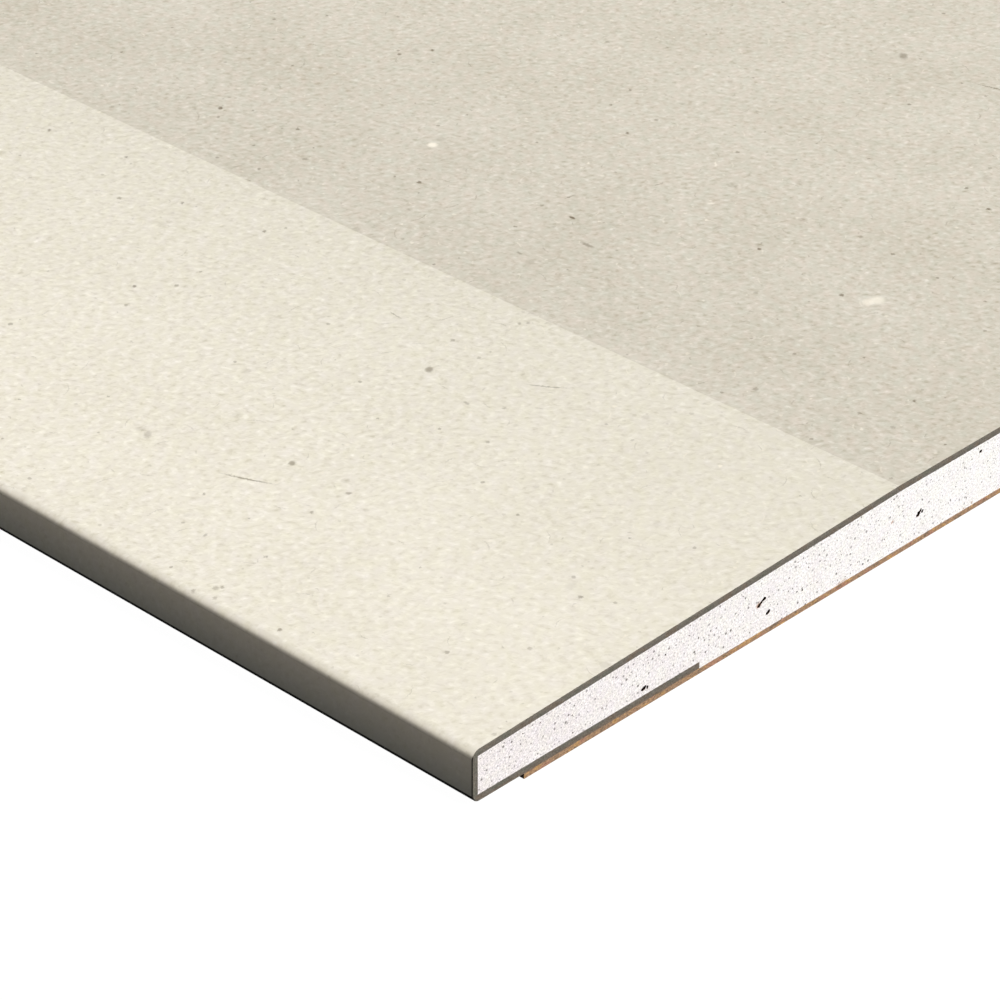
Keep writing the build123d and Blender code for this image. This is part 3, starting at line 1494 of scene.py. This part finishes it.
class AirVoids:
    """The Geometry Nodes tree that opens air voids on both cut ends of the core.

    Facing and flat_angle tell the cut ends, and the edges that no arris is at, from the rest. The higher
    few_large is, the fewer voids are large.
    """

    sockets = {
        "Core": "Geometry",
        "Spacing": "Float",
        "Margin": "Float",
        "Reach": "Float",
        "Smallest": "Float",
        "Largest": "Float",
        "Seed": "Int",
        "Shown voids": "Object",
        "Gypsum": "Material",
    }
    traits = ("size", "stretch", "turn")
    facing = 0.9
    flat_angle = 0.01
    density = 0.6
    few_large = 3.5
    longest = 1.7
    depth = 1.7
    lump_scale = 2600.0
    lumpiness = 1.3

    def __init__(self) -> None:
        """Builds the tree."""
        self.tree = bpy.data.node_groups.new("air_voids", "GeometryNodeTree")
        for title, kind in self.sockets.items():
            self.tree.interface.new_socket(title, in_out="INPUT", socket_type=f"NodeSocket{kind}")
        self.tree.interface.new_socket("Core", in_out="OUTPUT", socket_type="NodeSocketGeometry")
        self.graph = graph = Graph(self.tree)
        self.source = graph.node("NodeGroupInput").outputs
        shown = graph.node("GeometryNodeObjectInfo", {"Object": self.source["Shown voids"]})
        shown = shown.outputs["Geometry"]
        to_shown = graph.node("GeometryNodeProximity", {"Geometry": shown}, target_element="POINTS")
        self.away = to_shown.outputs["Distance"]
        scattered = self.cutters(self.random_traits(self.scattered_points()), 2)
        cut = self.difference("MANIFOLD", self.source["Core"], scattered)
        cut = self.difference("EXACT", cut, self.cutters(shown, 4), Self_Intersection=True)
        whole = graph.node("GeometryNodeRealizeInstances", {"Geometry": cut}).outputs[0]
        inputs = {"Geometry": whole, "Material": self.source["Gypsum"]}
        graph.node("NodeGroupOutput", {"Core": graph.node("GeometryNodeSetMaterial", inputs).outputs[0]})

    def difference(self, solver: str, body: Socket, cutters: Socket, **settings: bool) -> Socket:
        """Cuts the cutters out of the body.

        Args:
            solver: the method of the cut.
            body: what is cut.
            cutters: what cuts it.
            settings: the cut's other inputs, with underscores for the spaces in their names.

        Returns:
            The cut body.
        """
        inputs = {"Mesh 1": body, "Mesh 2": cutters}
        inputs |= {name.replace("_", " "): value for name, value in settings.items()}
        made = self.graph.node("GeometryNodeMeshBoolean", inputs, operation="DIFFERENCE", solver=solver)
        return made.outputs["Mesh"]

    def scattered_points(self) -> Socket:
        """Spreads points over the cut ends, clear of the core's arrises and of the shown voids.

        Returns:
            The points.
        """
        graph, source = self.graph, self.source
        normal = graph.split(graph.node("GeometryNodeInputNormal").outputs[0])[0]
        spacing = source["Spacing"]
        inputs = {
            "Mesh": source["Core"],
            "Selection": graph.math("GREATER_THAN", graph.math("ABSOLUTE", normal), self.facing),
            "Distance Min": spacing,
            "Density Max": graph.math("DIVIDE", self.density, graph.times(spacing, spacing)),
            "Seed": source["Seed"],
        }
        kind = "GeometryNodeDistributePointsOnFaces"
        spread = graph.node(kind, inputs, distribute_method="POISSON")
        angle = graph.node("GeometryNodeInputMeshEdgeAngle").outputs["Unsigned Angle"]
        flat = graph.math("LESS_THAN", angle, self.flat_angle)
        inputs = {"Geometry": source["Core"], "Selection": flat}
        kept = graph.node("GeometryNodeDeleteGeometry", inputs, domain="EDGE", mode="EDGE_FACE")
        arrises = kept.outputs[0]
        to_arris = graph.node("GeometryNodeProximity", {"Geometry": arrises}, target_element="EDGES")
        close = graph.math("LESS_THAN", to_arris.outputs["Distance"], source["Margin"])
        crowded = graph.math("LESS_THAN", self.away, spacing)
        inputs = {"Geometry": spread.outputs["Points"], "Selection": graph.most(close, crowded)}
        return graph.node("GeometryNodeDeleteGeometry", inputs, domain="POINT").outputs[0]

    def random(self, seed: int, low: float = 0.0, high: float = 1.0) -> Socket:
        """Draws a random number for each point."""
        inputs = {2: low, 3: high, "Seed": seed}
        return self.graph.node("FunctionNodeRandomValue", inputs, data_type="FLOAT").outputs[1]

    def random_traits(self, points: Socket) -> Socket:
        """Gives each point a size, stretch and turn. Large ones are rare, and far from the shown voids.

        Args:
            points: the points.

        Returns:
            The points with their traits.
        """
        graph, source = self.graph, self.source
        spread = graph.math("SUBTRACT", source["Largest"], source["Smallest"])
        reach = graph.math("DIVIDE", self.away, source["Reach"], clamp=True)
        spread = graph.times(spread, graph.math("POWER", reach, 2.0))
        share = graph.math("POWER", self.random(1), self.few_large)
        size = graph.math("MULTIPLY_ADD", share, spread, source["Smallest"])
        stretch, turn = self.random(2, 1.0, self.longest), self.random(3, 0.0, math.pi)
        for name, value in zip(self.traits, (size, stretch, turn)):
            inputs = {"Geometry": points, "Name": name, "Value": value}
            points = graph.node("GeometryNodeStoreNamedAttribute", inputs, data_type="FLOAT").outputs[0]
        return points

    def trait(self, name: str) -> Socket:
        """Reads one trait of each point."""
        made = self.graph.node("GeometryNodeInputNamedAttribute", {"Name": name}, data_type="FLOAT")
        return made.outputs["Attribute"]

    def cutters(self, points: Socket, fineness: int) -> Socket:
        """Puts a lumpy ball on each point, with the size, stretch and turn that the point carries.

        Args:
            points: where the balls go.
            fineness: how often each ball is subdivided.

        Returns:
            The balls as one mesh.
        """
        graph = self.graph
        size, stretch, turn = (self.trait(name) for name in self.traits)
        inputs = {"Radius": 1.0, "Subdivisions": fineness}
        ball = graph.node("GeometryNodeMeshIcoSphere", inputs).outputs["Mesh"]
        inputs = {"Points": points, "Instance": ball, "Rotation": graph.join(turn, 0.0, 0.0)}
        inputs["Scale"] = graph.grow(graph.join(self.depth, stretch, 1.0), size)
        placed = graph.node("GeometryNodeInstanceOnPoints", inputs).outputs[0]
        whole = graph.node("GeometryNodeRealizeInstances", {"Geometry": placed}).outputs[0]
        lumps = graph.node("ShaderNodeTexNoise", {"Scale": self.lump_scale, "Detail": 2.0}).outputs["Color"]
        lumps = graph.vector("SUBTRACT", lumps, (0.5, 0.5, 0.5))
        lumps = graph.grow(lumps, graph.times(size, self.lumpiness))
        return graph.node("GeometryNodeSetPosition", {"Geometry": whole, "Offset": lumps}).outputs[0]


@dataclass
class GypsumCore:
    """The cast core between the papers, with the air voids that open on its cut ends."""

    section: Section
    column: float = 10 * MM
    smallest: float = 0.1 * MM
    largest: float = 0.42 * MM
    spacing: float = 3.0 * MM
    margin: float = 0.6 * MM
    reach: float = 70 * MM
    seed: int = 11

    def outline(self) -> list[Point]:
        """Gives the core's section, in order round it.

        Returns:
            Its corners as (y, z).
        """
        s = self.section
        lap = s.half_width - s.face_paper_lap
        half = [(lap, s.back_paper), (lap, s.core_foot[1]), s.core_foot, s.core_arris, s.core_crease]
        return half + [(-y, z) for y, z in reversed(half)]

    def blank(self) -> bpy.types.Object:
        """Makes the core without voids, in columns so that each void touches few faces.

        Returns:
            The blank as a temporary object.
        """
        bm = bmesh.new()
        ends = (-self.section.half_length, self.section.half_length)
        rows = [[bm.verts.new((x, y, z)) for y, z in self.outline()] for x in ends]
        count = len(rows[0])
        for k in range(count):
            after = (k + 1) % count
            bm.faces.new([rows[0][k], rows[1][k], rows[1][after], rows[0][after]])
        bm.faces.new(rows[0])
        bm.faces.new(rows[1])
        columns = int(self.section.half_width / self.column)
        for k in range(1 - columns, columns):
            parts = bm.verts[:] + bm.edges[:] + bm.faces[:]
            bmesh.ops.bisect_plane(bm, geom=parts, plane_co=(0, k * self.column, 0), plane_no=(0, 1, 0))
        return closed_piece("core_blank", bm)

    def shown_voids(self) -> bpy.types.Object:
        """Makes a cloud of points that carries the size, stretch and turn of each shown void.

        Returns:
            The points as a temporary object.
        """
        s = self.section
        mesh = bpy.data.meshes.new("shown_voids")
        places = [(s.half_length, v.from_edge * MM - s.half_width, v.height * MM) for v in SHOWN_VOIDS]
        mesh.from_pydata(places, [], [])
        columns = zip(*((v.radius * MM, v.stretch, math.radians(v.turn)) for v in SHOWN_VOIDS))
        for name, values in zip(AirVoids.traits, columns):
            mesh.attributes.new(name, "FLOAT", "POINT").data.foreach_set("value", values)
        return linked("shown_voids", mesh)

    def build(self, gypsum: bpy.types.Material) -> bpy.types.Object:
        """Makes the core with its voids as one plain mesh.

        Args:
            gypsum: the core's material.

        Returns:
            The finished piece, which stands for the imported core.
        """
        blank, shown = self.blank(), self.shown_voids()
        values = {
            "Spacing": self.spacing,
            "Margin": self.margin,
            "Reach": self.reach,
            "Smallest": self.smallest,
            "Largest": self.largest,
            "Seed": self.seed,
            "Shown voids": shown,
            "Gypsum": gypsum,
        }
        tree = AirVoids().tree
        modifier = blank.modifiers.new("air_voids", "NODES")
        modifier.node_group = tree
        for item in tree.interface.items_tree:
            if item.in_out == "INPUT" and item.name in values:
                modifier[item.identifier] = values[item.name]
        ready = blank.evaluated_get(bpy.context.evaluated_depsgraph_get())
        mesh = bpy.data.meshes.new_from_object(ready)
        for trait in AirVoids.traits:
            if trait in mesh.attributes:
                mesh.attributes.remove(mesh.attributes[trait])
        for spare in (blank, shown):
            bpy.data.objects.remove(spare)
        return linked("gypsum_with_voids", mesh)


@dataclass
class DrywallSheet:
    """The whole sheet: its core, its face paper and its back paper."""

    section: Section

    def build(self) -> None:
        """Builds each piece, dresses it and fixes it to the frame."""
        effects = Effects(PaperFibres(), Flecks(), Hairs(), PlacedSpot(), PlacedHair())
        outside = FacePaperFinish(self.section, effects).material()
        wrap = FacePaper(self.section).build(outside, CutPaperFinish(self.section).material())
        self.stand_for(wrap, "face_paper")
        core = GypsumCore(self.section).build(GypsumFinish(self.section, effects).material())
        self.stand_for(core, "gypsum_core")
        self.redress("back_paper", BackPaperFinish(self.section, effects).material())

    def stand_for(self, piece: bpy.types.Object, node: str) -> None:
        """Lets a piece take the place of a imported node.

        Args:
            piece: the finished piece.
            node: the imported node's name.
        """
        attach(piece, ROOT)
        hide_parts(node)
        log.info("%s stands for %s: %d faces", piece.name, node, len(piece.data.polygons))

    def redress(self, node: str, material: bpy.types.Material) -> None:
        """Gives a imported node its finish.

        Args:
            node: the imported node's name.
            material: its finish.
        """
        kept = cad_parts[node]
        kept.data.materials.clear()
        kept.data.materials.append(material)
        log.info("%s keeps its packed shape", node)


@dataclass(frozen=True)
class PhotoCamera:
    """The photograph's viewpoint, from the vanishing points of the long edge and the cut end."""

    azimuth: float = 44.0
    elevation: float = 31.555
    roll: float = 0.17
    lens: float = 146.2
    sensor: float = 36.0
    image_side: float = 1000.0
    corner_pixel: Point = (472.0, 799.75)
    corner_height: float = 1.81 * MM
    corner_depth: float = 561.2 * MM
    clip: Point = (0.01, 100.0)

    def build(self, section: Section) -> None:
        """Places the camera so that the photographed corner falls on its pixel.

        Args:
            section: the sheet's section, which gives the corner.
        """
        turn, rise = math.radians(self.azimuth), math.radians(self.elevation)
        back = Vector((math.sin(turn) * math.cos(rise), -math.cos(turn) * math.cos(rise), math.sin(rise)))
        view = back.to_track_quat("Z", "Y").to_matrix() @ Matrix.Rotation(math.radians(self.roll), 3, "Z")
        focal = self.lens / self.sensor * self.image_side
        across = (self.corner_pixel[0] - self.image_side / 2) / focal
        up = (self.image_side / 2 - self.corner_pixel[1]) / focal
        corner = Vector((section.half_length, -section.half_width, self.corner_height))
        data = bpy.data.cameras.new("photo_camera")
        data.lens, data.sensor_width = self.lens, self.sensor
        data.clip_start, data.clip_end = self.clip
        camera = linked("photo_camera", data)
        camera.location = corner - self.corner_depth * (across * view.col[0] + up * view.col[1] - view.col[2])
        camera.rotation_mode = "QUATERNION"
        camera.rotation_quaternion = view.to_quaternion()
        bpy.context.scene.camera = camera
        log.info("camera %.3f m from the corner", (camera.location - corner).length)


@dataclass(frozen=True)
class Studio:
    """A white floor and backdrop, one broad lamp over the cut end, and an even sky.

    The floor and the sky look white to the camera, but give the sheet plain light of about its own level.
    Light from below reaches only what lies close to the floor, so that the underside shows from there.
    """

    lamp_from: tuple[float, float, float] = (0.9, 0.1, 0.73)
    lamp_level: float = 1.124
    lamp_spread: float = 10.0
    sky_horizon: float = 0.06
    sky_rise: float = 0.36
    light_below: float = 1.7
    below_band: Point = (-0.6, -0.8)
    floor_size: float = 60.0
    floor_gap: float = 0.1 * MM
    floor_reach: float = 1.3 * MM
    floor_shine: float = 0.985
    floor_tone: float = 0.05
    floor_bounce: float = 0.1

    def build(self) -> None:
        """Sets up the lamp, the sky and the floor."""
        self.lamp()
        self.sky()
        self.floor()
        bpy.context.scene.view_settings.view_transform = "Standard"

    def seen(self, graph: Graph) -> Socket:
        """Gives 1 for what the camera sees, also in gloss or through glass, and 0 for light on the sheet."""
        path = graph.node("ShaderNodeLightPath").outputs
        return graph.most(path["Is Camera Ray"], path["Is Glossy Ray"], path["Is Transmission Ray"])

    def lamp(self) -> None:
        """Adds the broad lamp."""
        data = bpy.data.lights.new("broad_lamp", "SUN")
        data.energy = self.lamp_level * math.pi
        data.angle = math.radians(self.lamp_spread)
        lamp = linked("broad_lamp", data)
        lamp.rotation_mode = "QUATERNION"
        lamp.rotation_quaternion = Vector(self.lamp_from).to_track_quat("Z", "Y")

    def sky(self) -> None:
        """Makes the world a sky that is brighter overhead, and lights what is seen from straight below."""
        world = bpy.data.worlds.new("even_sky")
        world.use_nodes = True
        world.node_tree.nodes.clear()
        graph = Graph(world.node_tree)
        height = graph.split(graph.node("ShaderNodeTexCoord").outputs["Generated"])[2]
        above = graph.math("MULTIPLY_ADD", graph.most(height, 0.0), self.sky_rise, self.sky_horizon)
        light = graph.math("ADD", above, graph.step(height, *self.below_band, self.light_below))
        level = graph.math("MULTIPLY_ADD", self.seen(graph), graph.math("SUBTRACT", 1.0, light), light)
        sky = graph.node("ShaderNodeBackground", {"Color": grey(1.0), "Strength": level})
        graph.node("ShaderNodeOutputWorld", {"Surface": sky.outputs[0]})
        bpy.context.scene.world = world

    def floor(self) -> None:
        """Lays the floor just under the sheet."""
        made, graph = blank_material("white_floor")
        plain = graph.node("ShaderNodeBsdfDiffuse", {"Color": grey(self.floor_bounce)}).outputs[0]
        lit = graph.node("ShaderNodeBsdfDiffuse", {"Color": grey(self.floor_tone)}).outputs[0]
        inputs = {"Color": grey(1.0), "Strength": self.floor_shine}
        shine = graph.node("ShaderNodeEmission", inputs).outputs[0]
        white = graph.node("ShaderNodeAddShader", {0: lit, 1: shine}).outputs[0]
        surface = graph.node("ShaderNodeMixShader", {0: self.seen(graph), 1: plain, 2: white}).outputs[0]
        path = graph.node("ShaderNodeLightPath").outputs
        close = graph.math("LESS_THAN", path["Ray Length"], self.floor_reach)
        close = graph.times(close, path["Is Diffuse Ray"])
        through = graph.most(graph.node("ShaderNodeNewGeometry").outputs["Backfacing"], close)
        clear = graph.node("ShaderNodeBsdfTransparent").outputs[0]
        final = graph.node("ShaderNodeMixShader", {0: through, 1: surface, 2: clear}).outputs[0]
        graph.node("ShaderNodeOutputMaterial", {"Surface": final})
        size, low = self.floor_size, -self.floor_gap
        mesh = bpy.data.meshes.new("floor")
        corners = [(-size, -size, low), (size, -size, low), (size, size, low), (-size, size, low)]
        mesh.from_pydata(corners, [], [(0, 1, 2, 3)])
        mesh.materials.append(made)
        linked("floor", mesh)


def main() -> None:
    """Sets up the camera, builds the sheet and lights it."""
    section = Section.from_frame()
    PhotoCamera().build(section)
    DrywallSheet(section).build()
    Studio().build()


if __name__ == "__main__":
    logging.basicConfig(level=logging.INFO, format="%(name)s: %(message)s")
    main()
